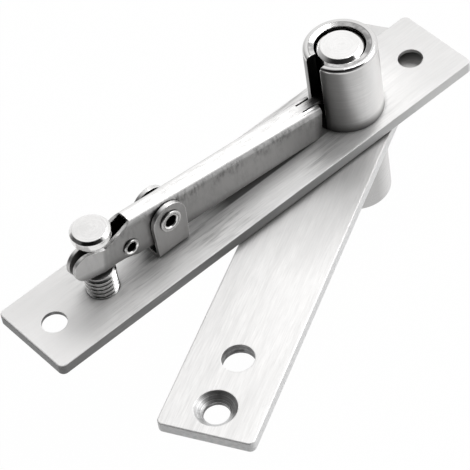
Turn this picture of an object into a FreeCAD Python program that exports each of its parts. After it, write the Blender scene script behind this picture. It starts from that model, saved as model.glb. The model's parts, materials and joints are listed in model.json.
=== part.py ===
import FreeCAD, Part
import math
import os
from FreeCAD import Vector

# Concealed pivot hinge for the top of a door, in millimetres.
# The origin is on the pivot axis, in the underside of the frame plate, which is the face that
# shows in the door head. +Z is up into the door head and +X runs from the adjusting screw to the
# pin. The door plate lies below, turned about the pivot axis.

# Both plates
PLATE_LENGTH = 130.0
PLATE_WIDTH = 23.5
PLATE_THICKNESS = 3.0
PLATE_CORNER_RADIUS = 1.5
PLATE_EDGE_RADIUS = 0.3
PIVOT_TO_SHORT_END = 30.5
PIVOT_TO_SHORT_SCREW = 21.0
LONG_END_TO_SCREW = 7.5
SCREW_HOLE_DIAMETER = 6.2
COUNTERSINK_DIAMETER = 10.2
COUNTERSINK_ANGLE = 90.0
PLATE_GAP = 0.4
DOOR_ANGLE = 28.2

# Sleeve on the frame plate
SLEEVE_DIAMETER = 18.0
SLEEVE_HEIGHT = 21.0
SLEEVE_BORE_ROOM = 0.65
SLEEVE_SLOT_WIDTH = 4.6
SLEEVE_RIM_RADIUS = 0.9
RIM_DISH_WIDTH = 1.25
RIM_DISH_DEPTH = 0.3
SPIGOT_WALL = 1.87
GUIDE_LAND_ABOVE_PLATE = 4.0

# Pivot pin
PIN_DIAMETER = 11.3
PIN_FIT = 0.08
PIN_BELOW_PLATE = 8.0
PIN_BELOW_SLEEVE_RIM = 0.1
PIN_TOP_CHAMFER = 0.9
PIN_TIP_CHAMFER = 1.2
PIN_NOTCH_DEPTH = 2.4

# Lever, folded from one sheet, wider at its tail, with its axis in the bracket
LEVER_AXIS_FROM_PIVOT = 58.4
LEVER_AXIS_ABOVE_PLATE = 10.3
LEVER_TILT = 7.35
LEVER_SHEET = 0.9
LEVER_WIDTH_AT_FORK = 4.85
LEVER_WIDTH_AT_TAIL = 6.6
LEVER_BEND_RADIUS = 0.9
LEVER_WEB_ABOVE_AXIS = 5.4
LEVER_DEPTH_AT_AXIS = 11.5
LEVER_DEPTH_AT_TAIL = 9.2
LEVER_TAPER_STARTS_BEHIND_AXIS = 3.0
LEVER_TO_SLEEVE = 1.85
LEVER_TAIL_CORNER = 1.8
TONGUE_WIDTH = 2.2
TONGUE_SLIT = 0.45
TONGUE_SLIT_LENGTH = 4.2
TONGUE_BEND_PAST_WALLS = 1.0
TONGUE_DIP = 26.0
TONGUE_IN_PIN = 1.2
TONGUE_PLAY = 0.35

# Fork at the lever's front end: two arms that end in round lobes, closed in past a crease
WEB_AHEAD_OF_AXIS = 10.4
ARM_START_ABOVE_AXIS = 4.9
WAIST_START_AHEAD_OF_AXIS = 8.8
WAIST_BELOW_AXIS = 5.2
CREASE_BEHIND_SCREW = 1.2
CREASE_ABOVE_AXIS = 1.15
CREASE_BELOW_AXIS = 5.7
LOBE_CENTRE_AHEAD_OF_CREASE = 4.75
LOBE_CENTRE_BELOW_AXIS = 1.85
LOBE_RADIUS = 3.65
FORK_CLOSING_ANGLE = 6.0
FORK_RIVET_AHEAD_OF_AXIS = 10.6
FORK_RIVET_BELOW_AXIS = 2.5

# Bracket, a folded U that carries the lever
BRACKET_SHEET = 1.1
BRACKET_SIDE_PLAY = 0.15
BRACKET_EAR_RADIUS = 4.8
BRACKET_FOOT_WIDTH = 9.0
BRACKET_BEND_RADIUS = 0.6

# Tubular rivets
AXLE_BODY_DIAMETER = 4.4
AXLE_BORE_DIAMETER = 3.1
AXLE_FLANGE_DIAMETER = 5.8
FORK_RIVET_BODY_DIAMETER = 3.5
FORK_RIVET_BORE_DIAMETER = 2.6
FORK_RIVET_FLANGE_DIAMETER = 4.3
RIVET_FLANGE_THICKNESS = 0.55
RIVET_RUNNING_FIT = 0.06
RIVET_FLANGE_PLAY = 0.05

# Adjusting screw and the washer on its neck
LEVER_AXIS_TO_SCREW = 19.0
SCREW_THREAD_DIAMETER = 8.0
SCREW_THREAD_FIT = 0.05
SCREW_THREAD_CHAMFER = 0.6
SCREW_THREAD_ABOVE_PLATE = 6.4
SCREW_END_RECESS = 0.2
SCREW_NECK_DIAMETER = 2.2
SCREW_NECK_LENGTH = 11.6
SCREW_HEAD_DIAMETER = 9.6
SCREW_HEAD_THICKNESS = 2.6
SCREW_HEAD_CHAMFER = 0.7
SCREW_HEAD_UNDER_RADIUS = 0.3
DRIVER_SLOT_WIDTH = 1.2
DRIVER_SLOT_DEPTH = 1.8
WASHER_DIAMETER = 7.6
WASHER_THICKNESS = 0.9
WASHER_BELOW_HEAD = 0.4
WASHER_CLEARANCE = 0.3

# Socket under the door plate
RELIEF_HOLE_DIAMETER = 7.8
CUP_DIAMETER = 17.0
CUP_LENGTH = 22.5
CUP_SPIGOT_WALL = 0.67
CUP_EDGE_RADIUS = 0.6
CUP_FLOOR = 2.5
CUP_WELL_DIAMETER = 11.0
BUSH_WALL = 1.2
BUSH_LENGTH = 11.0
BUSH_BELOW_FACE = 0.5
BUSH_CHAMFER = 0.5

CUT_MARGIN = 1.0

UP = Vector(0, 0, 1)
ACROSS = Vector(0, 1, 0)
ALONG = Vector(1, 0, 0)

# Places worked out from the sizes above
plate_long_end = PIVOT_TO_SHORT_END - PLATE_LENGTH
short_screw_x = PIVOT_TO_SHORT_SCREW
long_screw_x = plate_long_end + LONG_END_TO_SCREW
screw_x = -LEVER_AXIS_FROM_PIVOT - LEVER_AXIS_TO_SCREW
frame_top = PLATE_THICKNESS
door_top = -PLATE_GAP
door_bottom = door_top - PLATE_THICKNESS
pin_radius = PIN_DIAMETER / 2
guide_radius = pin_radius + PIN_FIT
sleeve_radius = SLEEVE_DIAMETER / 2
sleeve_bore_radius = pin_radius + SLEEVE_BORE_ROOM
spigot_radius = guide_radius + SPIGOT_WALL
sleeve_rim = frame_top + SLEEVE_HEIGHT
guide_land_top = frame_top + GUIDE_LAND_ABOVE_PLATE
pin_top = sleeve_rim - PIN_BELOW_SLEEVE_RIM
lever_axis = Vector(-LEVER_AXIS_FROM_PIVOT, 0, frame_top + LEVER_AXIS_ABOVE_PLATE)
tilt = math.radians(LEVER_TILT)
# Lever places are measured from its axis, along the web towards the tail and square to the web.
tail_end = (LEVER_AXIS_FROM_PIVOT - sleeve_radius - LEVER_TO_SLEEVE) / math.cos(tilt)
tongue_bend = tail_end + TONGUE_BEND_PAST_WALLS
web_under = LEVER_WEB_ABOVE_AXIS - LEVER_SHEET
crease = CREASE_BEHIND_SCREW - LEVER_AXIS_TO_SCREW
wall_slope = (LEVER_WIDTH_AT_TAIL - LEVER_WIDTH_AT_FORK) / 2 / (tail_end - crease)
wall_across = LEVER_SHEET * math.hypot(1, wall_slope)
thread_radius = SCREW_THREAD_DIAMETER / 2
thread_top = frame_top + SCREW_THREAD_ABOVE_PLATE
head_under = thread_top + SCREW_NECK_LENGTH
washer_top = head_under - WASHER_BELOW_HEAD
cup_bottom = door_bottom - CUP_LENGTH
bush_inner_radius = guide_radius
bush_outer_radius = bush_inner_radius + BUSH_WALL
cup_spigot_radius = bush_outer_radius + CUP_SPIGOT_WALL
bush_top = door_top - BUSH_BELOW_FACE
bush_bottom = bush_top - BUSH_LENGTH


def lever_half_width(u):
    """Half the lever's outer width at a place along it."""
    return LEVER_WIDTH_AT_FORK / 2 + wall_slope * (u - crease)


def lever_half_gap(u):
    """Half the room between the lever's walls at a place along it."""
    return lever_half_width(u) - wall_across


bracket_half_gap = BRACKET_SIDE_PLAY + lever_half_width(
    BRACKET_EAR_RADIUS + LEVER_WEB_ABOVE_AXIS * math.sin(tilt))
bracket_half_width = bracket_half_gap + BRACKET_SHEET


def cylinder(radius, z_low, z_high, x=0.0):
    return Part.makeCylinder(radius, z_high - z_low, Vector(x, 0, z_low), UP)


def box(x_low, x_high, y_low, y_high, z_low, z_high):
    return Part.makeBox(x_high - x_low, y_high - y_low, z_high - z_low, Vector(x_low, y_low, z_low))


def revolved(points, radial, axial):
    """A solid turned from a closed outline of (radius, height) points about the axial direction."""
    corners = [radial * r + axial * h for r, h in points]
    outline = Part.makePolygon(corners + corners[:1])
    return Part.Face(outline).revolve(Vector(0, 0, 0), axial, 360)


def straight(start, end):
    return Part.makeLine(start, end)


def arc(start, middle, end):
    return Part.Arc(start, middle, end).toShape()


def prism(edges, direction):
    """A solid from a closed run of edges, drawn out along a direction."""
    return Part.Face(Part.Wire(edges)).extrude(direction)


def touch_point(corner, centre, radius, side):
    """Where a line from a corner just touches a circle, on the side given by 1 or -1."""
    run = centre - corner
    reach = math.sqrt(run.Length ** 2 - radius ** 2)
    swing = side * math.asin(radius / run.Length)
    normal = ACROSS.cross(run)
    line = run * math.cos(swing) + normal * math.sin(swing)
    return corner + line * (reach / run.Length)


def rounded_tab(foot_a, foot_b, centre, radius):
    """The outline of a flat tab: straight sides from its two feet, tangent to a round end."""
    side = 1 if ACROSS.cross(centre - foot_a).dot(foot_b - foot_a) < 0 else -1
    touch_a = touch_point(foot_a, centre, radius, side)
    touch_b = touch_point(foot_b, centre, radius, -side)
    outward = centre - (foot_a + foot_b) * 0.5
    crown = centre + outward * (radius / outward.Length)
    return [straight(foot_a, touch_a), arc(touch_a, crown, touch_b), straight(touch_b, foot_b),
            straight(foot_b, foot_a)]


def edges_at_height(shape, z):
    """The edges that lie wholly in the level plane at z."""
    found = []
    for edge in shape.Edges:
        span = edge.BoundBox
        if abs(span.ZMin - z) < 1e-6 and abs(span.ZMax - z) < 1e-6:
            found.append(edge)
    return found


def countersunk_hole(x, mouth_z, far_z):
    """A countersunk screw hole, with its wide mouth at mouth_z."""
    inward = 1.0 if far_z > mouth_z else -1.0
    hole_radius = SCREW_HOLE_DIAMETER / 2
    mouth_radius = COUNTERSINK_DIAMETER / 2
    slope = math.tan(math.radians(COUNTERSINK_ANGLE / 2))
    depth = (mouth_radius - hole_radius) / slope
    outside = CUT_MARGIN * inward
    cone = Part.makeCone(mouth_radius + CUT_MARGIN * slope, hole_radius, depth + CUT_MARGIN,
                         Vector(x, 0, mouth_z - outside), UP * inward)
    low, high = sorted((mouth_z - outside, far_z + outside))
    return cone.fuse(cylinder(hole_radius, low, high, x))


def plate_blank(z_low):
    """The stamped outline that both plates share, with its edges just broken."""
    half = PLATE_WIDTH / 2
    blank = box(plate_long_end, PIVOT_TO_SHORT_END, -half, half, z_low, z_low + PLATE_THICKNESS)
    corners = [e for e in blank.Edges if e.BoundBox.ZLength > PLATE_THICKNESS / 2]
    blank = blank.makeFillet(PLATE_CORNER_RADIUS, corners)
    rims = edges_at_height(blank, z_low) + edges_at_height(blank, z_low + PLATE_THICKNESS)
    return blank.makeFillet(PLATE_EDGE_RADIUS, rims)


def frame_plate():
    plate = plate_blank(0.0)
    for x in (short_screw_x, long_screw_x):
        plate = plate.cut(countersunk_hole(x, 0.0, frame_top))
    plate = plate.cut(cylinder(spigot_radius, -CUT_MARGIN, frame_top + CUT_MARGIN))
    tapped = cylinder(thread_radius + SCREW_THREAD_FIT, -CUT_MARGIN, frame_top + CUT_MARGIN, screw_x)
    return plate.cut(tapped)


def door_plate():
    plate = plate_blank(door_bottom)
    for x in (short_screw_x, long_screw_x):
        plate = plate.cut(countersunk_hole(x, door_top, door_bottom))
    plate = plate.cut(cylinder(cup_spigot_radius, door_bottom - CUT_MARGIN, door_top + CUT_MARGIN))
    relief = cylinder(RELIEF_HOLE_DIAMETER / 2, door_bottom - CUT_MARGIN, door_top + CUT_MARGIN, screw_x)
    return plate.cut(relief)


def pivot_sleeve():
    """The upright tube, with a spigot in the plate, a dished rim and a slot for the lever's tongue."""
    body = cylinder(sleeve_radius, frame_top, sleeve_rim)
    body = body.makeFillet(SLEEVE_RIM_RADIUS, edges_at_height(body, sleeve_rim))
    body = body.fuse(cylinder(spigot_radius, 0.0, frame_top))
    body = body.cut(cylinder(guide_radius, -CUT_MARGIN, sleeve_rim))
    body = body.cut(cylinder(sleeve_bore_radius, guide_land_top, sleeve_rim + CUT_MARGIN))
    dish_height = RIM_DISH_DEPTH + CUT_MARGIN
    dish_reach = RIM_DISH_WIDTH * dish_height / RIM_DISH_DEPTH
    dish = Part.makeCone(sleeve_bore_radius, sleeve_bore_radius + dish_reach, dish_height,
                         Vector(0, 0, sleeve_rim - RIM_DISH_DEPTH), UP)
    body = body.cut(dish)
    half = SLEEVE_SLOT_WIDTH / 2
    slot = box(-sleeve_radius - CUT_MARGIN, 0, -half, half, guide_land_top, sleeve_rim + CUT_MARGIN)
    return body.cut(slot).removeSplitter()


def lever_point(u, y, w):
    """A place on the lever at rest, from its own coordinates about its axis."""
    return Vector(lever_axis.x + u * math.cos(tilt) + w * math.sin(tilt), y,
                  lever_axis.z - u * math.sin(tilt) + w * math.cos(tilt))


def tongue_run():
    """The tongue's length from its bend to its tip, and the tip's lowest height, at rest."""
    bend = lever_point(tongue_bend, 0, web_under)
    dip = tilt + math.radians(TONGUE_DIP)
    length = (TONGUE_IN_PIN - pin_radius - bend.x) / math.cos(dip)
    return length, bend.z - length * math.sin(dip)


def pivot_pin():
    """The sliding pin, with a notch across its side for the tongue."""
    pin_tip = -PIN_BELOW_PLATE
    pin = revolved([(0, pin_tip), (pin_radius - PIN_TIP_CHAMFER, pin_tip),
                    (pin_radius, pin_tip + PIN_TIP_CHAMFER), (pin_radius, pin_top - PIN_TOP_CHAMFER),
                    (pin_radius - PIN_TOP_CHAMFER, pin_top), (0, pin_top)], ALONG, UP)
    dip = tilt + math.radians(TONGUE_DIP)
    low = tongue_run()[1]
    high = low + TONGUE_IN_PIN * math.tan(dip) + LEVER_SHEET / math.cos(dip)
    notch = box(-pin_radius - CUT_MARGIN, PIN_NOTCH_DEPTH - pin_radius, -PIN_DIAMETER, PIN_DIAMETER,
                low - TONGUE_PLAY, high + TONGUE_PLAY)
    return pin.cut(notch)


def tapered_bar(u_low, u_high, half_width, w_low, w_high):
    """A bar along the lever whose half width follows a function of the place along it."""
    corners = [Vector(u_low, -half_width(u_low), w_low), Vector(u_high, -half_width(u_high), w_low),
               Vector(u_high, half_width(u_high), w_low), Vector(u_low, half_width(u_low), w_low)]
    outline = Part.makePolygon(corners + corners[:1])
    return Part.Face(outline).extrude(UP * (w_high - w_low))


def channel():
    """The folded section with its open side down, as long as the whole lever."""
    top = LEVER_WEB_ABOVE_AXIS
    bottom = top - LEVER_DEPTH_AT_AXIS - CUT_MARGIN
    long_enough = (tail_end - crease) / 2
    solid = tapered_bar(crease, tail_end, lever_half_width, bottom, top)
    hollow = tapered_bar(crease - CUT_MARGIN, tail_end + CUT_MARGIN, lever_half_gap,
                         bottom - CUT_MARGIN, web_under)
    outer_folds = [e for e in edges_at_height(solid, top) if e.Length > long_enough]
    inner_folds = [e for e in edges_at_height(hollow, web_under) if e.Length > long_enough]
    solid = solid.makeFillet(LEVER_BEND_RADIUS + LEVER_SHEET, outer_folds)
    return solid.cut(hollow.makeFillet(LEVER_BEND_RADIUS, inner_folds))


def wall_outline():
    """The side view of the lever's walls from the fork's crease to the tail."""
    def at(u, w):
        return Vector(u, -LEVER_WIDTH_AT_TAIL, w)

    top = LEVER_WEB_ABOVE_AXIS
    low = top - LEVER_DEPTH_AT_AXIS
    low_tail = top - LEVER_DEPTH_AT_TAIL
    corner = LEVER_TAIL_CORNER
    bevel = corner * (1 - math.sqrt(0.5))
    heel = -WEB_AHEAD_OF_AXIS
    waist_start = -WAIST_START_AHEAD_OF_AXIS
    return [
        straight(at(tail_end, top), at(heel, top)),
        straight(at(heel, top), at(heel, ARM_START_ABOVE_AXIS)),
        straight(at(heel, ARM_START_ABOVE_AXIS), at(crease, CREASE_ABOVE_AXIS)),
        straight(at(crease, CREASE_ABOVE_AXIS), at(crease, -CREASE_BELOW_AXIS)),
        arc(at(crease, -CREASE_BELOW_AXIS), at((crease + waist_start) / 2, -WAIST_BELOW_AXIS),
            at(waist_start, low)),
        straight(at(waist_start, low), at(LEVER_TAPER_STARTS_BEHIND_AXIS, low)),
        straight(at(LEVER_TAPER_STARTS_BEHIND_AXIS, low), at(tail_end - corner, low_tail)),
        arc(at(tail_end - corner, low_tail), at(tail_end - bevel, low_tail + bevel),
            at(tail_end, low_tail + corner)),
        straight(at(tail_end, low_tail + corner), at(tail_end, top)),
    ]


def fork_lobe():
    """One round end of the fork, on the -Y side, closed in behind the screw's neck."""
    outer = -lever_half_width(crease)
    inner = -lever_half_gap(crease)
    high_foot = Vector(crease, outer, CREASE_ABOVE_AXIS)
    low_foot = Vector(crease, outer, -CREASE_BELOW_AXIS)
    centre = Vector(crease - LOBE_CENTRE_AHEAD_OF_CREASE, outer, -LOBE_CENTRE_BELOW_AXIS)
    lobe = prism(rounded_tab(high_foot, low_foot, centre, LOBE_RADIUS), ACROSS * (inner - outer))
    hinge_line = Vector(crease, inner, 0)
    lobe.rotate(hinge_line, UP, -FORK_CLOSING_ANGLE)
    through = ACROSS * (inner - outer)
    corners = [low_foot, low_foot + through, high_foot + through, high_foot]
    section = Part.Face(Part.makePolygon(corners + corners[:1]))
    return lobe.fuse(section.revolve(hinge_line, UP, -FORK_CLOSING_ANGLE))


def tongue():
    """The narrow end of the web, dipped to reach the pin's notch."""
    half = TONGUE_WIDTH / 2
    hinge_line = Vector(tongue_bend, 0, web_under)
    length = tongue_run()[0]
    top = LEVER_WEB_ABOVE_AXIS
    flat = box(tail_end - CUT_MARGIN, tongue_bend, -half, half, web_under, top)
    strip = box(tongue_bend, tongue_bend + length, -half, half, web_under, top)
    strip.rotate(hinge_line, ACROSS, TONGUE_DIP)
    corners = [Vector(tongue_bend, y, w)
               for y, w in ((-half, web_under), (half, web_under), (half, top), (-half, top))]
    section = Part.Face(Part.makePolygon(corners + corners[:1]))
    return strip.fuse([flat, section.revolve(hinge_line, ACROSS, TONGUE_DIP)])


def cross_hole(diameter, u, w):
    """A hole through both of the lever's walls."""
    start = Vector(u, -LEVER_WIDTH_AT_TAIL, w)
    return Part.makeCylinder(diameter / 2, 2 * LEVER_WIDTH_AT_TAIL, start, ACROSS)


def lever():
    """Channel, fork and tongue, all from one folded sheet."""
    side = prism(wall_outline(), ACROSS * 2 * LEVER_WIDTH_AT_TAIL)
    body = channel().common(side)
    deep = LEVER_DEPTH_AT_AXIS + CUT_MARGIN
    above = LEVER_WEB_ABOVE_AXIS + CUT_MARGIN
    room = lever_half_gap(crease)
    body = body.cut(box(crease - CUT_MARGIN, -WEB_AHEAD_OF_AXIS, -room, room, -deep, above))
    fold_bottom = web_under - LEVER_BEND_RADIUS
    for low in (-TONGUE_WIDTH / 2 - TONGUE_SLIT, TONGUE_WIDTH / 2):
        body = body.cut(box(tail_end - TONGUE_SLIT_LENGTH, tail_end + CUT_MARGIN,
                            low, low + TONGUE_SLIT, fold_bottom, above))
    near_lobe = fork_lobe()
    far_lobe = near_lobe.mirror(Vector(0, 0, 0), ACROSS)
    body = body.fuse([near_lobe, far_lobe, tongue()]).removeSplitter()
    axle_hole = cross_hole(AXLE_BODY_DIAMETER + 2 * RIVET_RUNNING_FIT, 0, 0)
    rivet_hole = cross_hole(FORK_RIVET_BODY_DIAMETER, -FORK_RIVET_AHEAD_OF_AXIS, -FORK_RIVET_BELOW_AXIS)
    return to_rest(body.cut([axle_hole, rivet_hole]))


def to_rest(shape):
    """Turns a shape from the lever's own coordinates to its place at rest."""
    shape.rotate(Vector(0, 0, 0), ACROSS, LEVER_TILT)
    shape.translate(lever_axis)
    return shape


def lever_bracket():
    """A U folded from one strip: a base on the plate and two round-topped ears."""
    left = lever_axis.x - BRACKET_EAR_RADIUS - CUT_MARGIN
    right = lever_axis.x + BRACKET_EAR_RADIUS + CUT_MARGIN
    top = lever_axis.z + BRACKET_EAR_RADIUS + CUT_MARGIN
    floor = frame_top + BRACKET_SHEET
    outer = box(left, right, -bracket_half_width, bracket_half_width, frame_top, top)
    inner = box(left, right, -bracket_half_gap, bracket_half_gap, floor, top)
    outer_folds = [e for e in edges_at_height(outer, frame_top) if e.BoundBox.XLength > BRACKET_EAR_RADIUS]
    inner_folds = [e for e in edges_at_height(inner, floor) if e.BoundBox.XLength > BRACKET_EAR_RADIUS]
    section = outer.makeFillet(BRACKET_BEND_RADIUS + BRACKET_SHEET, outer_folds)
    section = section.cut(inner.makeFillet(BRACKET_BEND_RADIUS, inner_folds))
    feet = [Vector(lever_axis.x + x, -bracket_half_width, frame_top)
            for x in (-BRACKET_FOOT_WIDTH / 2, BRACKET_FOOT_WIDTH / 2)]
    centre = Vector(lever_axis.x, -bracket_half_width, lever_axis.z)
    ear = prism(rounded_tab(*feet, centre, BRACKET_EAR_RADIUS), ACROSS * 2 * bracket_half_width)
    hole = Part.makeCylinder(AXLE_BODY_DIAMETER / 2, 2 * bracket_half_width, centre, ACROSS)
    return section.common(ear).cut(hole)


def tubular_rivet(half_grip, body_diameter, bore_diameter, flange_diameter):
    """A hollow rivet along Y, rolled over outwards at both ends."""
    bore = bore_diameter / 2
    body = body_diameter / 2
    flange = flange_diameter / 2
    roll = RIVET_FLANGE_THICKNESS
    end = half_grip + roll
    mouth = roll * (1 - math.sqrt(0.5))

    def at(r, y):
        return Vector(r, y, 0)

    def rolled_end(side):
        """The lip from the bore round to the flange's edge, for the end at side = 1 or -1."""
        return [arc(at(bore, side * (end - roll)), at(bore + mouth, side * (end - mouth)),
                    at(bore + roll, side * end)),
                straight(at(bore + roll, side * end), at(flange - roll / 2, side * end)),
                arc(at(flange - roll / 2, side * end), at(flange, side * (end - roll / 2)),
                    at(flange - roll / 2, side * half_grip)),
                straight(at(flange - roll / 2, side * half_grip), at(body, side * half_grip))]

    outline = rolled_end(1) + [straight(at(body, half_grip), at(body, -half_grip))]
    outline += rolled_end(-1) + [straight(at(bore, roll - end), at(bore, end - roll))]
    return Part.Face(Part.Wire(Part.__sortEdges__(outline))).revolve(Vector(0, 0, 0), ACROSS, 360)


def lever_rivet():
    rivet = tubular_rivet(bracket_half_width + RIVET_FLANGE_PLAY, AXLE_BODY_DIAMETER,
                          AXLE_BORE_DIAMETER, AXLE_FLANGE_DIAMETER)
    rivet.translate(lever_axis)
    return rivet


def fork_rivet():
    seat = lever_half_width(FORK_RIVET_FLANGE_DIAMETER / 2 - FORK_RIVET_AHEAD_OF_AXIS)
    rivet = tubular_rivet(seat, FORK_RIVET_BODY_DIAMETER, FORK_RIVET_BORE_DIAMETER,
                          FORK_RIVET_FLANGE_DIAMETER)
    rivet.translate(Vector(-FORK_RIVET_AHEAD_OF_AXIS, 0, -FORK_RIVET_BELOW_AXIS))
    return to_rest(rivet)


def adjusting_screw():
    """Thread, thin neck and flat head in one turned piece, with a driver slot in its lower end."""
    low = SCREW_END_RECESS
    chamfer = SCREW_THREAD_CHAMFER
    screw = revolved([(0, low), (thread_radius - chamfer, low), (thread_radius, low + chamfer),
                      (thread_radius, thread_top - chamfer), (thread_radius - chamfer, thread_top),
                      (0, thread_top)], ALONG, UP)
    screw = screw.fuse(cylinder(SCREW_NECK_DIAMETER / 2, thread_top, head_under))
    head = cylinder(SCREW_HEAD_DIAMETER / 2, head_under, head_under + SCREW_HEAD_THICKNESS)
    head = head.makeChamfer(SCREW_HEAD_CHAMFER, edges_at_height(head, head_under + SCREW_HEAD_THICKNESS))
    head = head.makeFillet(SCREW_HEAD_UNDER_RADIUS, edges_at_height(head, head_under))
    half = DRIVER_SLOT_WIDTH / 2
    slot = box(-SCREW_THREAD_DIAMETER, SCREW_THREAD_DIAMETER, -half, half,
               low - CUT_MARGIN, low + DRIVER_SLOT_DEPTH)
    screw = screw.fuse(head).cut(slot)
    screw.translate(ALONG * screw_x)
    return screw


def fork_washer():
    low = washer_top - WASHER_THICKNESS
    ring = cylinder(WASHER_DIAMETER / 2, low, washer_top, screw_x)
    hole = cylinder(SCREW_NECK_DIAMETER / 2 + WASHER_CLEARANCE, low - CUT_MARGIN,
                    washer_top + CUT_MARGIN, screw_x)
    return ring.cut(hole)


def socket_cup():
    """The blind cup below the door plate, with a spigot in the plate and a seat for the bush."""
    cup = cylinder(CUP_DIAMETER / 2, cup_bottom, door_bottom)
    cup = cup.makeFillet(CUP_EDGE_RADIUS, edges_at_height(cup, cup_bottom))
    cup = cup.fuse(cylinder(cup_spigot_radius, door_bottom, door_top))
    cup = cup.cut(cylinder(bush_outer_radius, bush_bottom, door_top + CUT_MARGIN))
    return cup.cut(cylinder(CUP_WELL_DIAMETER / 2, cup_bottom + CUP_FLOOR, door_top))


def socket_bush():
    """A plain bearing bush for the pin, chamfered where the pin enters."""
    return revolved([(bush_inner_radius, bush_bottom), (bush_outer_radius, bush_bottom),
                     (bush_outer_radius, bush_top), (bush_inner_radius + BUSH_CHAMFER, bush_top),
                     (bush_inner_radius, bush_top - BUSH_CHAMFER)], ALONG, UP)


def at_door_angle(shape):
    shape.rotate(Vector(0, 0, 0), UP, DOOR_ANGLE)
    return shape


pieces = {
    "frame_plate": frame_plate(),
    "pivot_sleeve": pivot_sleeve(),
    "pivot_pin": pivot_pin(),
    "lever": lever(),
    "lever_bracket": lever_bracket(),
    "lever_rivet": lever_rivet(),
    "fork_rivet": fork_rivet(),
    "adjusting_screw": adjusting_screw(),
    "fork_washer": fork_washer(),
    "door_plate": at_door_angle(door_plate()),
    "socket_cup": at_door_angle(socket_cup()),
    "socket_bush": at_door_angle(socket_bush()),
}

os.makedirs("parts", exist_ok=True)
for name, shape in pieces.items():
    shape.exportStep("parts/" + name + ".step")
    print(name, "solids", len(shape.Solids), "volume", round(shape.Volume, 2), "valid", shape.isValid())
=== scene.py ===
import json
import math

import bmesh
import bpy
from mathutils import Matrix, Vector


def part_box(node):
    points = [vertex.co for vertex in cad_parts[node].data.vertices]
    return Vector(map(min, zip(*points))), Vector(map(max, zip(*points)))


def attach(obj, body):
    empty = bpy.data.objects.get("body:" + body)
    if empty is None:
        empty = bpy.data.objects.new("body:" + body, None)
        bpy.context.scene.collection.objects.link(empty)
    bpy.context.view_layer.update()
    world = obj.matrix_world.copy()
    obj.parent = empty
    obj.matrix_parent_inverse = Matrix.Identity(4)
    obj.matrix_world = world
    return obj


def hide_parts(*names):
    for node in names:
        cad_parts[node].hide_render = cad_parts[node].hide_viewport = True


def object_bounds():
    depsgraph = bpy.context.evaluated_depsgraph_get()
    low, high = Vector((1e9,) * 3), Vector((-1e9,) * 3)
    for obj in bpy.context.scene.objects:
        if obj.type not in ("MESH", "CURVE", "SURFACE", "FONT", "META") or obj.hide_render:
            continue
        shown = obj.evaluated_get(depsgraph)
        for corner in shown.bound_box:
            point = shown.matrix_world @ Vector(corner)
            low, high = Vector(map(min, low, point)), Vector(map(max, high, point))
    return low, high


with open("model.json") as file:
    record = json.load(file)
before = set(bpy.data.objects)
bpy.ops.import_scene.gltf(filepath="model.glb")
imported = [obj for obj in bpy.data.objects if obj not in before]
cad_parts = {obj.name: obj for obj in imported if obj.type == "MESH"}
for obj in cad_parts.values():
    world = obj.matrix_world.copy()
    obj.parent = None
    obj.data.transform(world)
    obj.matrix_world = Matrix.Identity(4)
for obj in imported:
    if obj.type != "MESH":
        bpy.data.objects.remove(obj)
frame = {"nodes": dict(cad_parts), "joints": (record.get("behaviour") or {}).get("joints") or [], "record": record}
cad_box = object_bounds()

MM = 0.001

# Camera, found from the plates' outlines in the photograph
CAMERA_AZIMUTH = math.radians(-33.78)
CAMERA_ELEVATION = math.radians(48.81)
CAMERA_ROLL = math.radians(-10.09)
CAMERA_TARGET = Vector((-44.57, -8.73, 0.0)) * MM
CAMERA_DISTANCE = 666.1 * MM
CAMERA_LENS_MM = 217.5
CAMERA_SENSOR_MM = 36.0
CAMERA_CLIP_START = 0.01
CAMERA_CLIP_END = 50.0

# Level directions, fixed in the part's frame: to the front and to the right in the photograph
PHOTO_FRONT = Vector((math.sin(CAMERA_AZIMUTH), -math.cos(CAMERA_AZIMUTH), 0.0))
PHOTO_RIGHT = Vector((math.cos(CAMERA_AZIMUTH), math.sin(CAMERA_AZIMUTH), 0.0))

# Adjusting screw, with its real thread
THREAD_RADIUS = 4.0 * MM
THREAD_PITCH = 1.25 * MM
THREAD_DEPTH = 0.68 * MM
THREAD_CREST_SHARE = 0.16
THREAD_ROOT_SHARE = 0.22
THREAD_TOP = 9.4 * MM
THREAD_END_CHAMFER = 0.6 * MM
THREAD_ROWS_PER_PITCH = 16
NECK_RADIUS = 1.1 * MM
HEAD_THICKNESS = 2.6 * MM
HEAD_CHAMFER = 0.7 * MM
HEAD_UNDER_RADIUS = 0.3 * MM
DRIVER_SLOT_WIDTH = 1.2 * MM
DRIVER_SLOT_DEPTH = 1.8 * MM
TURNED_SEGMENTS = 96
ARC_STEPS = 6
SHARP_ANGLE = math.radians(35)

# Floor, lamps and surroundings; the lamps' places are in metres, their power in watts
FLOOR_HALF = 20.0
FLOOR_GAP = 1.0 * MM
FLOOR_TONE = 0.92
FLOOR_WHITENESS = 0.99
LAMPS = {
    "key_lamp": {"place": (0.6, 0.25, 1.1), "size": 0.5, "power": 4.5},
    "fill_lamp": {"place": (0.8, -0.5, 0.8), "size": 0.8, "power": 3.0},
}
DARK_SIDE = Vector((-0.97, -0.24, 0.0))
MIDDLE_LEVEL = 0.5
DARK_SIDE_FALL = -0.95
HEIGHT_RISE = 0.15
LEAST_LEVEL = 0.09
MOST_LEVEL = 1.1

# The dark patch high in the surroundings, with soft limits: its start and its end by the slope
# from straight up towards the photograph's front, its reach to each side and its least height
PATCH_DEPTH = 0.95
PATCH_STARTS = (-0.3, 0.1)
PATCH_ENDS = (1.3, 1.7)
PATCH_SIDES = (0.66, 0.76)
PATCH_FOOT = (0.05, 0.15)

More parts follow.
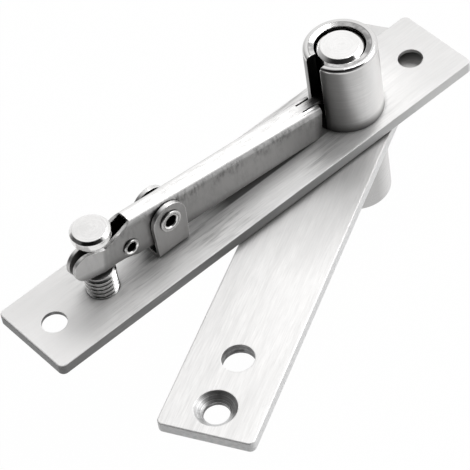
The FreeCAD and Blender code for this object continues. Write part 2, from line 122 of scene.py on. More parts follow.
# Shapes that the materials follow, from the CAD solids
LEVER_TILT = math.radians(7.35)
LEVER_HALF = 3.2 * MM
TAIL_END = 47.94 * MM
FORK_CREASE = -17.8 * MM
FOLD_LOW = 4.5 * MM
FOLD_HIGH = 5.1 * MM
PIN_CHAMFER_START = 22.9 * MM
FRAME_TOP = 3.0 * MM
SLEEVE_BORE_RADIUS = 6.3 * MM
SLEEVE_SLOT_HALF = 2.3 * MM
SLEEVE_RIM_START = 23.0 * MM
RIM_LINE_RADIUS = 7.55 * MM
BORE_DARK_BELOW = 23.1 * MM
ROOT_SHADE_RADIUS = 3.55 * MM
SCREW_HOLE_RADIUS = 3.1 * MM
RELIEF_HOLE_RADIUS = 3.9 * MM
COUNTERSINK_RADIUS = 5.1 * MM
DOOR_END = -100.5 * MM
RIVET_BORE_RADII = {"lever_rivet": 1.55 * MM, "fork_rivet": 1.3 * MM}

# Stretches of painted shade, painted light and streaks, along the frame plate or away from the pivot axis
SLEEVE_END_SHADE_STRETCH = (7.0 * MM, 20.0 * MM)
SCREW_END_LIGHT_STRETCH = (-88.0 * MM, -76.0 * MM)
STREAK_AND_SHADE_STRETCH = (-84.0 * MM, 2.0 * MM)
SHADED_STRETCH = (-44.0 * MM, -8.0 * MM)
SIDE_STRETCH = (-45.0 * MM, 15.0 * MM)
CROSSING_STRETCH = (28.0 * MM, 52.0 * MM)

# Values that the metals share; each pair is a start and an end of a soft limit
STEEL_WARMTH = 0.008
# Lighter edges, partly wear and partly a painted highlight; the tone is also the rivet lip's painted highlight
WEAR_AND_HIGHLIGHT_TONE = 0.95
WEAR_AND_HIGHLIGHT_STRENGTH = 0.6
# Painted shade on inner faces, bores and slots, with its roughness
INSIDE_SHADE_TONE = 0.03
HIDDEN_ROUGHNESS = 0.5
EDGE_RADIUS = 0.25 * MM
EDGE_SAMPLES = 6
CAVITY_SAMPLES = 8
TURNED_RINGS = 5200.0
TURNED_RELIEF = 0.006 * MM
SHEET_RELIEF = 0.008 * MM
PLATE_RELIEF = 0.012 * MM
GRAIN_LEVELS = (0.3, 0.7)
BLOTCH_LEVELS = (0.45, 0.75)
# Flatness levels of the lighter edges, partly wear and partly a painted highlight
WEAR_AND_HIGHLIGHT_LEVELS = (0.90, 0.995)
SHUT_LEVELS = (0.15, 0.75)
UPRIGHT_LEVELS = (0.35, 0.75)
SLOPED_LEVELS = (0.3, 0.95)
SLOPED_SOFTNESS = 0.02
INWARD_LEVELS = (-1.2 * MM, -0.6 * MM)
DOWNWARD_LEVELS = (-0.7, -0.3)

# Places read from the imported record
record = frame["record"]
mounts = {m["name"]: m for m in record["mounts"]}
frame_mid = Vector(mounts["frame_screws"]["pos_m"])
frame_pitch = mounts["frame_screws"]["dims"]["spacing_x_mm"] * MM
door_centre = Vector(mounts["door_screws"]["pos_m"])
door_pitch = mounts["door_screws"]["dims"]["pcd_mm"] * MM
door_angle = math.atan2(-door_centre.y, -door_centre.x)
along_door = Vector((math.cos(door_angle), math.sin(door_angle), 0.0))
screw_low, screw_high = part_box("adjusting_screw")
screw_x = (screw_low.x + screw_high.x) / 2
lever_axis = next(Vector(j["pos_m"]) for j in frame["joints"] if j["name"] == "lever_tilt")


def add(tree, kind, inputs=None, **settings):
    """A shader node with its settings and its inputs, which are values or other nodes' sockets."""
    made = tree.nodes.new("ShaderNode" + kind)
    for key, value in settings.items():
        setattr(made, key, value)
    for key, value in (inputs or {}).items():
        put(tree, made.inputs[key], value)
    return made


def put(tree, socket, value):
    """A value or another node's socket, put into a socket."""
    if isinstance(value, bpy.types.NodeSocket):
        tree.links.new(value, socket)
    else:
        socket.default_value = value


def calc(tree, operation, *values):
    return add(tree, "Math", dict(enumerate(values)), operation=operation).outputs[0]


def product(tree, first, *others):
    for other in others:
        first = calc(tree, "MULTIPLY", first, other)
    return first


def dot(tree, first, second):
    made = add(tree, "VectorMath", {0: first, 1: second}, operation="DOT_PRODUCT")
    return made.outputs["Value"]


def distance(tree, first, second):
    """How far a place is from an axis, from its two offsets."""
    squares = [calc(tree, "MULTIPLY", value, value) for value in (first, second)]
    return calc(tree, "SQRT", calc(tree, "ADD", *squares))


def ramp(tree, value, low, high, start=0.0, end=1.0):
    """The value's run from low to high, made to run from start to end and held there."""
    inputs = {"Value": value, "From Min": low, "From Max": high, "To Min": start, "To Max": end}
    return add(tree, "MapRange", inputs, clamp=True).outputs[0]


def fade(tree, value, low, high, most=1.0):
    """A share that falls from its most to none as the value runs from low to high."""
    return ramp(tree, value, low, high, most, 0.0)


def within(tree, value, low, high, soft):
    """A share of one between two limits, with soft ends."""
    return product(tree, ramp(tree, value, low - soft, low + soft),
                   fade(tree, value, high - soft, high + soft))


def mix_colour(tree, share, first, second):
    """A colour between two, which the Mix node takes at inputs 6 and 7 and gives at output 2."""
    inputs = {"Factor": share, 6: first, 7: second}
    return add(tree, "Mix", inputs, data_type="RGBA").outputs[2]


def grey(tone, warmth=0.0):
    return (tone * (1 + warmth), tone, tone * (1 - warmth), 1.0)


def noise(tree, vector, detail=3.0, roughness=0.6):
    inputs = {"Vector": vector, "Scale": 1.0, "Detail": detail, "Roughness": roughness}
    return add(tree, "TexNoise", inputs).outputs["Fac"]


def speckle(tree, vector, low, high, roughness=0.6):
    """A share from noise: none below one level of it and full above another."""
    return ramp(tree, noise(tree, vector, roughness=roughness), low, high)


def mottle(tree, vector, low, high, dark, light):
    """A neutral colour that wanders between two tones."""
    return mix_colour(tree, speckle(tree, vector, low, high), grey(dark), grey(light))


def straight_grain(tree, angle, along, across):
    """Coordinates for streaks that run along a direction in the plate, in features per metre."""
    place = add(tree, "TexCoord").outputs["Object"]
    rotation = (0.0, 0.0, -angle)
    turned = add(tree, "Mapping", {"Vector": place, "Rotation": rotation}).outputs[0]
    scale = (along, across, across)
    return add(tree, "Mapping", {"Vector": turned, "Scale": scale}).outputs[0]


def turned_grain(tree, axis_x, around, across):
    """Coordinates for rings about an upright axis, in features per radian and per metre across."""
    place = add(tree, "TexCoord").outputs["Object"]
    apart = add(tree, "SeparateXYZ", {0: place})
    x = calc(tree, "SUBTRACT", apart.outputs[0], axis_x)
    y = apart.outputs[1]
    radius = distance(tree, x, y)
    above_zero = calc(tree, "MAXIMUM", radius, 1e-6)
    height = product(tree, calc(tree, "ADD", apart.outputs[2], radius), across)
    east, north = [product(tree, calc(tree, "DIVIDE", offset, above_zero), around)
                   for offset in (x, y)]
    return add(tree, "CombineXYZ", {0: east, 1: north, 2: height}).outputs[0]


def object_grain(tree, scale):
    """Coordinates in features per metre along each axis of the part's frame."""
    place = add(tree, "TexCoord").outputs["Object"]
    return add(tree, "Mapping", {"Vector": place, "Scale": scale}).outputs[0]


class Steel:
    """A metal whose colour, roughness and bump come from its grain, its blotches and its edges.

    Its grain gives the first colour, so that comes before anything else is laid over it.
    """

    def __init__(self, name, roughness, warmth=STEEL_WARMTH, metallic=1.0):
        self.material = bpy.data.materials.new(name)
        self.material.use_nodes = True
        self.tree = self.material.node_tree
        self.shader = self.tree.nodes["Principled BSDF"]
        place = add(self.tree, "TexCoord").outputs["Object"]
        self.x, self.y, self.z = add(self.tree, "SeparateXYZ", {0: place}).outputs
        self.warmth = warmth
        self.rough = roughness
        self.metallic = metallic
        bevel = add(self.tree, "Bevel", {"Radius": EDGE_RADIUS}, samples=EDGE_SAMPLES)
        self.bevel = bevel.outputs["Normal"]
        self.normal = self.bevel

    def grain(self, vector, light, dark, rough_swing, relief):
        """Streaks between two tones, with a swing in roughness and a relief in metres."""
        streak = noise(self.tree, vector, detail=4.0)
        share = ramp(self.tree, streak, *GRAIN_LEVELS)
        tones = [grey(tone, self.warmth) for tone in (dark, light)]
        self.colour = mix_colour(self.tree, share, *tones)
        swing = ramp(self.tree, streak, *GRAIN_LEVELS, -rough_swing, rough_swing)
        self.rough = calc(self.tree, "ADD", self.rough, swing)
        inputs = {"Height": streak, "Distance": relief, "Strength": 1.0, "Normal": self.normal}
        self.normal = add(self.tree, "Bump", inputs).outputs[0]
        return self

    def blotch(self, vector, tone, strength, rough_swing):
        """Soft patches that pull the colour towards another tone and make it rougher."""
        level = noise(self.tree, vector, roughness=0.55)
        patch = ramp(self.tree, level, *BLOTCH_LEVELS, end=strength)
        rise = product(self.tree, patch, rough_swing)
        self.rough = calc(self.tree, "ADD", self.rough, rise)
        return self.where(patch, tone)

    def where(self, share, tone, rough=None):
        """Another tone, and perhaps roughness, where a share says so."""
        self.colour = mix_colour(self.tree, share, self.colour, grey(tone, self.warmth))
        if rough is not None:
            kept = product(self.tree, self.rough, calc(self.tree, "SUBTRACT", 1.0, share))
            self.rough = calc(self.tree, "ADD", kept, product(self.tree, share, rough))
        return self

    def bare(self, share, colour):
        """Bare metal of another colour where a share says so."""
        self.colour = mix_colour(self.tree, share, self.colour, colour)
        self.metallic = calc(self.tree, "MAXIMUM", self.metallic, share)

    def along(self, direction):
        """How far a place lies from the pivot axis along a level direction."""
        parts = [product(self.tree, value, share) for value, share in
                 ((self.x, direction.x), (self.y, direction.y))]
        return calc(self.tree, "ADD", *parts)

    def from_axis(self, x, other, along_z=True):
        """The distance from an axis, upright through (x, y) or level along Y through (x, z)."""
        second = self.y if along_z else self.z
        return distance(self.tree, calc(self.tree, "SUBTRACT", self.x, x),
                        calc(self.tree, "SUBTRACT", second, other))

    def facing(self):
        """The three parts of the surface's own direction, in the part's frame."""
        direction = add(self.tree, "TexCoord").outputs["Normal"]
        return add(self.tree, "SeparateXYZ", {0: direction}).outputs

    def upright(self):
        """The share by which a surface faces sideways and not up or down."""
        level = calc(self.tree, "ABSOLUTE", self.facing()[2])
        return fade(self.tree, level, *UPRIGHT_LEVELS)

    def sloped(self):
        """The share by which a surface is neither level nor upright, as in a countersink."""
        level = calc(self.tree, "ABSOLUTE", self.facing()[2])
        return within(self.tree, level, *SLOPED_LEVELS, soft=SLOPED_SOFTNESS)

    def inside(self):
        """The share of a folded piece's surfaces that face its own middle plane or downwards."""
        facing = self.facing()
        walls = fade(self.tree, product(self.tree, facing[1], self.y), *INWARD_LEVELS)
        return calc(self.tree, "MAXIMUM", walls, fade(self.tree, facing[2], *DOWNWARD_LEVELS))

    def lean(self, share):
        """Surfaces shaded as if they faced further up, by a share of the upright direction."""
        lift = add(self.tree, "CombineXYZ", {2: share}).outputs[0]
        raised = add(self.tree, "VectorMath", {0: self.normal, 1: lift}, operation="ADD").outputs[0]
        self.normal = add(self.tree, "VectorMath", {0: raised}, operation="NORMALIZE").outputs[0]
        return self

    def edges(self, tone=WEAR_AND_HIGHLIGHT_TONE, strength=WEAR_AND_HIGHLIGHT_STRENGTH, rough=None):
        """Lighter metal along the edges, partly worn by handling and partly a painted highlight, perhaps with its
        own roughness.
        """
        true_normal = add(self.tree, "NewGeometry").outputs["Normal"]
        flatness = dot(self.tree, self.bevel, true_normal)
        wear_and_highlight = fade(self.tree, flatness, *WEAR_AND_HIGHLIGHT_LEVELS, most=strength)
        return self.where(wear_and_highlight, tone, rough)

    def cavity_shade(self, tone, reach, strength=1.0):
        """Painted shade: darker metal deep in gaps, holes and corners, where little light gets in."""
        inputs = {"Distance": reach, "Normal": self.bevel}
        found = add(self.tree, "AmbientOcclusion", inputs, samples=CAVITY_SAMPLES)
        cavity_shade_share = fade(self.tree, found.outputs["AO"], *SHUT_LEVELS, most=strength)
        return self.where(cavity_shade_share, tone)

    def finish(self):
        for value, name in ((self.colour, "Base Color"), (self.rough, "Roughness"),
                            (self.normal, "Normal"), (self.metallic, "Metallic")):
            put(self.tree, self.shader.inputs[name], value)
        return self.material


def plate_ground(name, angle, metallic):
    """Long brushed grain with uneven streaks and broad soft patches."""
    steel = Steel(name, 0.36, metallic=metallic)
    tree = steel.tree
    steel.grain(straight_grain(tree, angle, along=190.0, across=2400.0), light=0.99, dark=0.84,
                rough_swing=0.08, relief=PLATE_RELIEF)
    steel.blotch(straight_grain(tree, angle, along=30.0, across=420.0), tone=0.72, strength=0.55,
                 rough_swing=0.06)
    steel.blotch(object_grain(tree, (75.0, 75.0, 75.0)), tone=0.9, strength=0.4, rough_swing=0.04)
    return steel


def plate_trim(steel, side_colour, holes):
    """Sides in a given colour of painted shade, rings in the countersinks, painted shade on the bore walls, edges
    lightened partly by wear and partly by a painted highlight, and painted shade in gaps.

    It gives back the share by which a surface is one of the sides.
    """
    tree = steel.tree
    sides = steel.upright()
    # the sides take the given colour of painted shade
    steel.colour = mix_colour(tree, sides, steel.colour, side_colour)
    for x, y, radius in holes:
        away = steel.from_axis(x, y)
        outwards = add(tree, "CombineXYZ", {0: product(tree, away, TURNED_RINGS)}).outputs[0]
        cone = fade(tree, away, COUNTERSINK_RADIUS - 0.1 * MM, COUNTERSINK_RADIUS)
        steel.bare(product(tree, cone, steel.sloped()),
                   mottle(tree, outwards, low=0.35, high=0.65, dark=0.35, light=1.0))
        # painted shade on the bore walls
        wall = fade(tree, away, radius + 0.05 * MM, radius + 0.15 * MM)
        steel.bare(product(tree, wall, sides),
                   mottle(tree, object_grain(tree, (500.0, 500.0, 1800.0)),
                          low=0.4, high=0.7, dark=0.06, light=0.24))
    # lighter edges, partly wear and partly painted highlight, and painted shade in gaps
    steel.edges(rough=0.5).cavity_shade(tone=0.04, reach=2.2 * MM, strength=0.75)
    return sides


def frame_plate_steel(name, holes):
    """Brushed steel, with dark streaks along its middle, partly brushing marks and partly painted
    reflection and shade, and with painted shade under the lever.

    It has painted shade at its sleeve end and painted light at its screw end, and its sides are in
    painted shade, lighter towards the sleeve.
    """
    steel = plate_ground(name, 0.0, metallic=0.2)
    tree = steel.tree
    # painted shade on the sides, lighter towards the sleeve
    lighter = ramp(tree, steel.x, *SIDE_STRETCH)
    sides = plate_trim(steel, mix_colour(tree, lighter, grey(0.17), grey(0.62)), holes)
    # dark streaks along the middle: partly brushing marks, partly painted reflection and shade of the bracket and
    # thread
    streaks = speckle(tree, straight_grain(tree, 0.0, along=90.0, across=1300.0),
                      low=0.46, high=0.66, roughness=0.7)
    patches = speckle(tree, straight_grain(tree, 0.0, along=45.0, across=110.0), low=0.4, high=0.6)
    streak_and_shade_zone = within(tree, steel.x, *STREAK_AND_SHADE_STRETCH, soft=8.0 * MM)
    steel.where(product(tree, streaks, patches, streak_and_shade_zone, 0.65), tone=0.35)
    # painted shade under the lever
    beside = calc(tree, "ABSOLUTE", steel.y)
    shade_under_lever = product(tree, fade(tree, beside, LEVER_HALF - 0.4 * MM, LEVER_HALF),
                      within(tree, steel.x, *SHADED_STRETCH, soft=4.0 * MM), 0.9)
    steel.where(shade_under_lever, tone=0.12)
    # painted shade towards the sleeve end
    steel.where(ramp(tree, steel.x, *SLEEVE_END_SHADE_STRETCH, end=0.6), tone=0.72)
    # painted light on the faces at the screw end
    faces = calc(tree, "SUBTRACT", 1.0, sides)
    steel.where(product(tree, faces, fade(tree, steel.x, *SCREW_END_LIGHT_STRETCH, most=0.8)), tone=0.99)
    return steel.finish()


def door_plate_steel(name, holes):
    """Brushed steel, with painted shade near the plates' crossing, and mottled sides and end face in painted
    shade, darkest on the end face.
    """
    steel = plate_ground(name, door_angle, metallic=0.35)
    tree = steel.tree
    # painted shade near the crossing, under the frame plate
    crossing = fade(tree, steel.from_axis(0.0, 0.0), *CROSSING_STRETCH, most=0.55)
    steel.where(crossing, tone=0.45)
    # mottled cut faces whose darker tones, darkest on the end face, are painted shade
    rough_cut = object_grain(tree, (900.0, 900.0, 2500.0))
    side, end = [mottle(tree, rough_cut, low=0.35, high=0.65, dark=dark, light=light)
                 for dark, light in ((0.68, 0.82), (0.42, 0.56))]
    at_end = fade(tree, steel.along(along_door), DOOR_END + 0.6 * MM, DOOR_END + 2.0 * MM)
    plate_trim(steel, mix_colour(tree, at_end, side, end), holes)
    return steel.finish()


def turned_steel(name, axis_x, dark, light, roughness):
    """Fine rings about an upright axis, with soft duller patches."""
    steel = Steel(name, roughness)
    rings = turned_grain(steel.tree, axis_x, around=1.2, across=TURNED_RINGS)
    steel.grain(rings, light, dark, rough_swing=0.04, relief=TURNED_RELIEF)
    return steel.blotch(object_grain(steel.tree, (160.0, 160.0, 90.0)), tone=dark * 0.9,
                        strength=0.5, rough_swing=0.05)


def sleeve_steel(name):
    """Turned steel, polished at the rim, with painted shade inside its bore and slot and at its foot,
    dark speckles in the dish inside its rim and a thin ring of painted shade on the rim.

    Its side wall runs from painted shade to painted light along PHOTO_RIGHT.
    """
    steel = turned_steel(name, 0.0, dark=0.56, light=0.72, roughness=0.4)
    tree = steel.tree
    # painted shade on the side wall's left, painted light on its right
    sideways = steel.along(PHOTO_RIGHT)
    steel.where(fade(tree, sideways, -5.5 * MM, 4.0 * MM, most=0.85), tone=0.2)
    steel.where(ramp(tree, sideways, 3.5 * MM, 7.0 * MM, end=0.8), tone=0.9)
    away = steel.from_axis(0.0, 0.0)
    rim = ramp(tree, steel.z, SLEEVE_RIM_START, SLEEVE_RIM_START + 0.2 * MM)
    steel.where(rim, tone=0.66, rough=0.14)
    # dark speckles in the dish inside the rim
    dish = within(tree, away, SLEEVE_BORE_RADIUS, RIM_LINE_RADIUS, soft=0.1 * MM)
    dark_speckles = speckle(tree, object_grain(tree, (230.0, 230.0, 230.0)), low=0.44, high=0.62)
    steel.where(product(tree, dish, rim, dark_speckles, 0.8), tone=0.2)
    # a thin ring of painted shade on the rim
    line = within(tree, away, RIM_LINE_RADIUS - 0.1 * MM, RIM_LINE_RADIUS + 0.1 * MM,
                  soft=0.08 * MM)
    steel.where(product(tree, line, rim, 0.75), tone=0.22)
    # painted shade at the foot
    foot = fade(tree, steel.z, FRAME_TOP + 0.3 * MM, FRAME_TOP + 3.0 * MM, most=0.8)
    steel.where(foot, tone=0.12)
    # painted shade inside the bore and the slot
    bore = product(tree, fade(tree, away, SLEEVE_BORE_RADIUS, SLEEVE_BORE_RADIUS + 0.05 * MM),
                   fade(tree, steel.z, BORE_DARK_BELOW - 0.3 * MM, BORE_DARK_BELOW))
    across = calc(tree, "ABSOLUTE", steel.y)
    slot = product(tree, fade(tree, across, SLEEVE_SLOT_HALF + 0.01 * MM,
                              SLEEVE_SLOT_HALF + 0.04 * MM),
                   fade(tree, steel.x, -0.1 * MM, 0.0))
    steel.edges()
    shaded_inside = calc(tree, "MAXIMUM", bore, slot)
    return steel.where(shaded_inside, tone=0.02, rough=HIDDEN_ROUGHNESS).finish()


def cup_steel(name):
    """Turned steel in painted shade all round but for its side along PHOTO_RIGHT."""
    steel = turned_steel(name, 0.0, dark=0.62, light=0.72, roughness=0.3)
    # painted shade all round but for the right side
    cup_shade = fade(steel.tree, steel.along(PHOTO_RIGHT), 4.5 * MM, 7.5 * MM, most=0.55)
    return steel.where(cup_shade, tone=0.3).edges().finish()


def pin_steel(name):
    """Ground steel whose top chamfer is blended into the end face."""
    steel = turned_steel(name, 0.0, dark=0.8, light=0.88, roughness=0.12).edges()
    chamfer = ramp(steel.tree, steel.z, PIN_CHAMFER_START, PIN_CHAMFER_START + 0.1 * MM, end=0.52)
    return steel.lean(chamfer).finish()


def screw_steel(name):
    """Turned steel, with painted shade and more roughness in the thread's roots than on its crests, and painted
    shade in its recesses.
    """
    steel = turned_steel(name, screw_x, dark=0.74, light=0.86, roughness=0.13)
    tree = steel.tree
    threaded = fade(tree, steel.z, THREAD_TOP, THREAD_TOP + 0.1 * MM)
    root = fade(tree, steel.from_axis(screw_x, 0.0), ROOT_SHADE_RADIUS,
                ROOT_SHADE_RADIUS + 0.2 * MM)
    # painted shade and more roughness in the thread's roots
    steel.where(product(tree, threaded, root), tone=0.62, rough=0.34)
    return steel.edges().cavity_shade(tone=0.1, reach=1.2 * MM, strength=0.3).finish()


def washer_steel(name):
    steel = turned_steel(name, screw_x, dark=0.6, light=0.7, roughness=0.26)
    # painted shade where the washer is closed in
    return steel.cavity_shade(tone=0.02, reach=2.0 * MM).finish()


def sheet_steel(name):
    """Folded sheet: faint rolling streaks, with painted shade on the upright walls."""
    steel = Steel(name, 0.3)
    steel.grain(object_grain(steel.tree, (260.0, 1500.0, 900.0)), light=0.88, dark=0.70,
                rough_swing=0.06, relief=SHEET_RELIEF)
    # painted shade on the upright walls
    return steel.where(steel.upright(), tone=0.41, rough=0.34)


def lever_steel(name):
    """Folded sheet with painted light on its lobes, and painted shade on its walls towards the fork,
    near their lower edge, in a band on the fold, in the crease where the fork closes in, at its tail
    and on its inner faces; its walls have dark speckles below its folds.

    Places on it are taken along the lever and square to it, from its axle, at rest.
    """
    steel = sheet_steel(name)
    tree = steel.tree
    cosine, sine = math.cos(LEVER_TILT), math.sin(LEVER_TILT)
    ahead = calc(tree, "SUBTRACT", steel.x, lever_axis.x)
    above = calc(tree, "SUBTRACT", steel.z, lever_axis.z)
    along = calc(tree, "SUBTRACT", product(tree, ahead, cosine), product(tree, above, sine))
    square = calc(tree, "ADD", product(tree, ahead, sine), product(tree, above, cosine))
    wall = steel.upright()
    lobe = fade(tree, along, FORK_CREASE - 1.0 * MM, FORK_CREASE + 1.0 * MM)
    # painted shade on the walls towards the fork
    steel.where(product(tree, wall, fade(tree, along, 0.0, 6.0 * MM, most=0.6)), tone=0.3)
    # painted light on the lobes
    steel.where(product(tree, wall, lobe), tone=0.62, rough=0.55)
    # painted shade near the walls' lower edge
    lower_edge = fade(tree, square, -5.4 * MM, -3.4 * MM, most=0.8)
    steel.where(product(tree, wall, lower_edge), tone=0.2)
    # a band of painted shade on the fold
    steel.where(within(tree, square, FOLD_LOW, FOLD_HIGH, soft=0.1 * MM), tone=0.5)
    fine = speckle(tree, object_grain(tree, (1100.0, 1100.0, 380.0)), low=0.4, high=0.62,
                   roughness=0.65)
    broad = speckle(tree, object_grain(tree, (200.0, 300.0, 160.0)), low=0.36, high=0.54)
    near_fold = ramp(tree, square, 0.4 * MM, 3.4 * MM, start=0.25)
    fewer_on_lobe = calc(tree, "SUBTRACT", 0.8, product(tree, lobe, 0.5))
    steel.where(product(tree, fine, broad, near_fold, fewer_on_lobe, wall), tone=0.16)
    # painted shade in the crease where the fork closes in
    crease = within(tree, along, FORK_CREASE - 0.3 * MM, FORK_CREASE + 0.2 * MM, soft=0.5 * MM)
    steel.where(product(tree, crease, wall, 0.6), tone=0.18)
    steel.edges(strength=0.7, rough=0.4)
    # painted shade at the tail
    tail = ramp(tree, along, TAIL_END - 2.4 * MM, TAIL_END - 0.4 * MM, end=0.75)
    steel.where(tail, tone=0.1)
    # painted shade on the inner faces
    return steel.where(steel.inside(), INSIDE_SHADE_TONE, HIDDEN_ROUGHNESS).finish()


def bracket_steel(name):
    """Folded sheet with dull blotches, strongly lightened edges that are partly wear and partly a painted
    highlight, and painted shade on its inner faces.
    """
    steel = sheet_steel(name)
    steel.blotch(object_grain(steel.tree, (520.0, 300.0, 150.0)), tone=0.3, strength=0.5,
                 rough_swing=0.06)
    steel.edges(strength=0.8)
    # painted shade on the inner faces
    return steel.where(steel.inside(), INSIDE_SHADE_TONE, HIDDEN_ROUGHNESS).finish()


def rivet_steel(name, centre, bore):
    """Smooth steel, with a painted highlight on the rolled lip, a ring of painted shade in the groove beside it,
    painted shade in its recesses and black painted shade inside the bore.
    """
    steel = Steel(name, 0.26)
    tree = steel.tree
    steel.grain(object_grain(tree, (1800.0, 1800.0, 1800.0)), light=0.72, dark=0.58,
                rough_swing=0.07, relief=SHEET_RELIEF)
    away = steel.from_axis(centre.x, centre.z, along_z=False)
    # painted highlight on the lip, painted shade in the groove
    lip = within(tree, away, bore + 0.1 * MM, bore + 0.4 * MM, soft=0.06 * MM)
    groove = within(tree, away, bore + 0.55 * MM, bore + 0.7 * MM, soft=0.08 * MM)
    steel.where(lip, tone=WEAR_AND_HIGHLIGHT_TONE, rough=0.15).where(groove, tone=0.25)
    # painted shade in the recesses
    steel.cavity_shade(tone=0.03, reach=1.2 * MM)
    # black painted shade inside the bore
    return steel.where(fade(tree, away, bore, bore + 0.1 * MM), tone=0.01, rough=0.6).finish()


def bush_bronze(name):
    steel = Steel(name, 0.36, warmth=0.32)
    rings = turned_grain(steel.tree, 0.0, around=1.0, across=4200.0)
    steel.grain(rings, light=0.5, dark=0.4, rough_swing=0.06, relief=TURNED_RELIEF)
    return steel.edges(tone=0.62, strength=0.5).finish()


def arc_rows(centre_r, centre_z, radius, start, end):
    """Points of a rounded corner in a turned outline, from one angle to another in degrees."""
    rows = []
    for step in range(ARC_STEPS + 1):
        turn = math.radians(start + (end - start) * step / ARC_STEPS)
        rows.append((centre_r + radius * math.cos(turn), centre_z + radius * math.sin(turn)))
    return rows


def thread_depth_at(share):
    """How deep the thread is cut at a share of the pitch, from its crest through its root."""
    from_root = abs((share % 1.0) - 0.5) * 2
    return THREAD_DEPTH * min(1.0, max(0.0, (1 - from_root - THREAD_CREST_SHARE) /
                                       (1 - THREAD_CREST_SHARE - THREAD_ROOT_SHARE)))


def thread_rows(low, high):
    """Rows of the threaded length, evenly spaced, before the thread is cut."""
    count = round((high - low) / THREAD_PITCH * THREAD_ROWS_PER_PITCH)
    return [(THREAD_RADIUS, low + (high - low) * step / count) for step in range(count + 1)]


def new_mesh(name, built):
    """A mesh from a bmesh, which is freed."""
    data = bpy.data.meshes.new(name)
    built.to_mesh(data)
    built.free()
    return data


def screw_mesh():
    """The turned outline of the screw, cut by its helical thread."""
    radius = (screw_high.x - screw_low.x) / 2
    low, top = screw_low.z, screw_high.z
    under = top - HEAD_THICKNESS
    threaded = thread_rows(low, THREAD_TOP)
    plain = [(NECK_RADIUS, THREAD_TOP), (NECK_RADIUS, under)]
    plain += arc_rows(radius - HEAD_UNDER_RADIUS, under + HEAD_UNDER_RADIUS,
                      HEAD_UNDER_RADIUS, -90, 0)
    plain += [(radius, top - HEAD_CHAMFER), (radius - HEAD_CHAMFER, top)]
    mesh = bmesh.new()
    rings = []
    for index, (r, z) in enumerate(threaded + plain):
        ring = []
        for step in range(TURNED_SEGMENTS):
            turn = math.tau * step / TURNED_SEGMENTS
            here = r
            if index < len(threaded):
                cut = r - thread_depth_at(z / THREAD_PITCH - step / TURNED_SEGMENTS)
                chamfer = r - THREAD_END_CHAMFER + min(z - low, THREAD_TOP - z)
                here = min(cut, chamfer)
            ring.append(mesh.verts.new((here * math.cos(turn), here * math.sin(turn), z)))
        rings.append(ring)
    for lower, upper in zip(rings, rings[1:]):
        for step in range(TURNED_SEGMENTS):
            after = (step + 1) % TURNED_SEGMENTS
            mesh.faces.new((lower[step], lower[after], upper[after], upper[step]))
    mesh.faces.new(list(reversed(rings[0])))
    mesh.faces.new(rings[-1])
    return new_mesh("adjusting_screw_threaded", mesh)


def linked(name, data):
    made = bpy.data.objects.new(name, data)
    bpy.context.scene.collection.objects.link(made)
    return made


def box_mesh(name, low, high):
    mesh = bmesh.new()
    bmesh.ops.create_cube(mesh, size=1.0)
    middle = (Vector(low) + Vector(high)) / 2
    size = Vector(high) - Vector(low)
    placed = Matrix.Translation(middle) @ Matrix.Diagonal((*size, 1.0))
    bmesh.ops.transform(mesh, matrix=placed, verts=mesh.verts)
    return new_mesh(name, mesh)


def threaded_screw():
    """The screw with its thread and driver slot, in place of its plain CAD solid."""
    screw = linked("adjusting_screw_threaded", screw_mesh())
    reach = 2 * (screw_high.x - screw_low.x)
    half = DRIVER_SLOT_WIDTH / 2
    slot = linked("driver_slot_cutter", box_mesh(
        "driver_slot_cutter", (-reach, -half, screw_low.z - DRIVER_SLOT_DEPTH),
        (reach, half, screw_low.z + DRIVER_SLOT_DEPTH)))
    cut = screw.modifiers.new("driver_slot", "BOOLEAN")
    cut.object = slot
    cut.solver = "EXACT"
    bpy.context.view_layer.update()
    evaluated = screw.evaluated_get(bpy.context.evaluated_depsgraph_get())
    result = bpy.data.meshes.new_from_object(evaluated)
    screw.modifiers.clear()
    screw.data = result
    bpy.data.objects.remove(slot)
    result.transform(Matrix.Translation((screw_x, 0.0, 0.0)))
    result.shade_smooth()
    result.set_sharp_from_angle(angle=SHARP_ANGLE)
    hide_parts("adjusting_screw")
    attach(screw, "screw")
    return screw


def dress(piece, material):
    piece.data.materials.clear()
    piece.data.materials.append(material)


def stage():
    """A wide white floor just below the cup, which shows as white and keeps a soft shadow."""
    level = cad_box[0].z - FLOOR_GAP
    mesh = bmesh.new()
    corners = [(-FLOOR_HALF, -FLOOR_HALF), (FLOOR_HALF, -FLOOR_HALF),
               (FLOOR_HALF, FLOOR_HALF), (-FLOOR_HALF, FLOOR_HALF)]
    mesh.faces.new([mesh.verts.new((x, y, level)) for x, y in corners])
    floor = linked("floor", new_mesh("floor", mesh))
    material = bpy.data.materials.new("white_floor")
    material.use_nodes = True
    tree = material.node_tree
    tree.nodes.clear()
    path = add(tree, "LightPath")
    seen = calc(tree, "MAXIMUM", path.outputs["Is Camera Ray"], path.outputs["Is Glossy Ray"])
    seen = calc(tree, "MAXIMUM", seen, path.outputs["Is Transmission Ray"])
    matt = add(tree, "BsdfDiffuse", {"Color": grey(FLOOR_TONE)}).outputs[0]
    white = add(tree, "Emission", {"Color": grey(1.0), "Strength": 1.0}).outputs[0]
    share = product(tree, seen, FLOOR_WHITENESS)
    mixed = add(tree, "MixShader", {0: share, 1: matt, 2: white}).outputs[0]
    add(tree, "OutputMaterial", {"Surface": mixed})
    floor.data.materials.append(material)


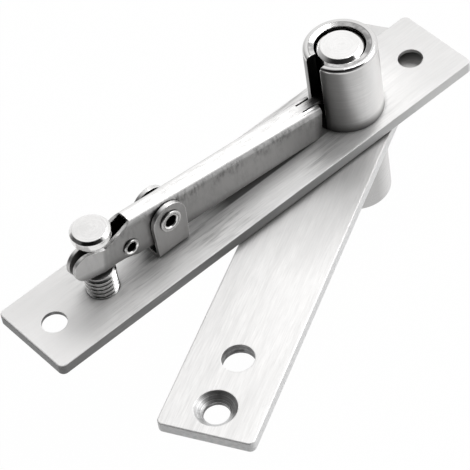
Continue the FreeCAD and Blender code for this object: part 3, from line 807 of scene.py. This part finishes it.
def world_light():
    """White studio surroundings, dark towards the screw's end and in a patch high up."""
    world = bpy.data.worlds.new("studio")
    bpy.context.scene.world = world
    world.use_nodes = True
    tree = world.node_tree
    tree.nodes.clear()
    towards = add(tree, "TexCoord").outputs["Generated"]
    height = add(tree, "SeparateXYZ", {0: towards}).outputs[2]
    facing, ahead, across = [dot(tree, towards, direction) for direction in
                             (DARK_SIDE, PHOTO_FRONT, PHOTO_RIGHT)]
    level = calc(tree, "ADD", product(tree, facing, DARK_SIDE_FALL),
                 product(tree, height, HEIGHT_RISE))
    level = calc(tree, "MAXIMUM", calc(tree, "ADD", level, MIDDLE_LEVEL), LEAST_LEVEL)
    level = calc(tree, "MINIMUM", level, MOST_LEVEL)
    slope = calc(tree, "DIVIDE", ahead, calc(tree, "MAXIMUM", height, PATCH_FOOT[0]))
    patch = product(tree, ramp(tree, slope, *PATCH_STARTS), fade(tree, slope, *PATCH_ENDS),
                    fade(tree, calc(tree, "ABSOLUTE", across), *PATCH_SIDES),
                    ramp(tree, height, *PATCH_FOOT))
    left = calc(tree, "SUBTRACT", 1.0, product(tree, patch, PATCH_DEPTH))
    level = product(tree, level, left)
    light = add(tree, "Background", {"Color": grey(1.0), "Strength": level}).outputs[0]
    add(tree, "OutputWorld", {"Surface": light})


def lamp(name, place, size, power):
    data = bpy.data.lights.new(name, "AREA")
    data.shape = "DISK"
    data.size = size
    data.energy = power
    made = linked(name, data)
    made.location = place
    made.rotation_mode = "QUATERNION"
    made.rotation_quaternion = (CAMERA_TARGET - Vector(place)).to_track_quat("-Z", "Y")


def camera():
    """The camera at the photograph's viewing angle, with its roll."""
    level_share = math.cos(CAMERA_ELEVATION)
    back = Vector((math.sin(CAMERA_AZIMUTH) * level_share,
                   -math.cos(CAMERA_AZIMUTH) * level_share, math.sin(CAMERA_ELEVATION)))
    upward = back.cross(PHOTO_RIGHT)
    right = PHOTO_RIGHT * math.cos(CAMERA_ROLL) + upward * math.sin(CAMERA_ROLL)
    upright = upward * math.cos(CAMERA_ROLL) - PHOTO_RIGHT * math.sin(CAMERA_ROLL)
    data = bpy.data.cameras.new("camera")
    data.sensor_width = CAMERA_SENSOR_MM
    data.lens = CAMERA_LENS_MM
    data.clip_start = CAMERA_CLIP_START
    data.clip_end = CAMERA_CLIP_END
    made = linked("camera", data)
    made.matrix_world = Matrix((right, upright, back)).transposed().to_4x4()
    made.location = CAMERA_TARGET + back * CAMERA_DISTANCE
    bpy.context.scene.camera = made


nodes = frame["nodes"]
visual_screw = threaded_screw()
frame_places = [frame_mid.x + side * frame_pitch / 2 for side in (-1, 1)]
frame_holes = [(x, 0.0, SCREW_HOLE_RADIUS) for x in frame_places]
door_places = [door_centre + along_door * side * door_pitch / 2 for side in (-1, 1)]
door_holes = [(place.x, place.y, SCREW_HOLE_RADIUS) for place in door_places]
door_holes.append((screw_x * along_door.x, screw_x * along_door.y, RELIEF_HOLE_RADIUS))
dress(nodes["frame_plate"], frame_plate_steel("frame_plate_steel", frame_holes))
dress(nodes["door_plate"], door_plate_steel("door_plate_steel", door_holes))
dress(nodes["pivot_sleeve"], sleeve_steel("sleeve_steel"))
dress(nodes["socket_cup"], cup_steel("cup_steel"))
dress(nodes["pivot_pin"], pin_steel("pin_steel"))
dress(nodes["lever"], lever_steel("lever_steel"))
dress(nodes["lever_bracket"], bracket_steel("bracket_steel"))
for rivet_name, bore_radius in RIVET_BORE_RADII.items():
    rivet_low, rivet_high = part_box(rivet_name)
    rivet_centre = (rivet_low + rivet_high) / 2
    dress(nodes[rivet_name], rivet_steel(rivet_name + "_steel", rivet_centre, bore_radius))
dress(nodes["fork_washer"], washer_steel("washer_steel"))
dress(nodes["socket_bush"], bush_bronze("bush_bronze"))
dress(visual_screw, screw_steel("screw_steel"))

stage()
world_light()
for lamp_name, values in LAMPS.items():
    lamp(lamp_name, **values)
camera()
bpy.context.scene.view_settings.view_transform = "Standard"
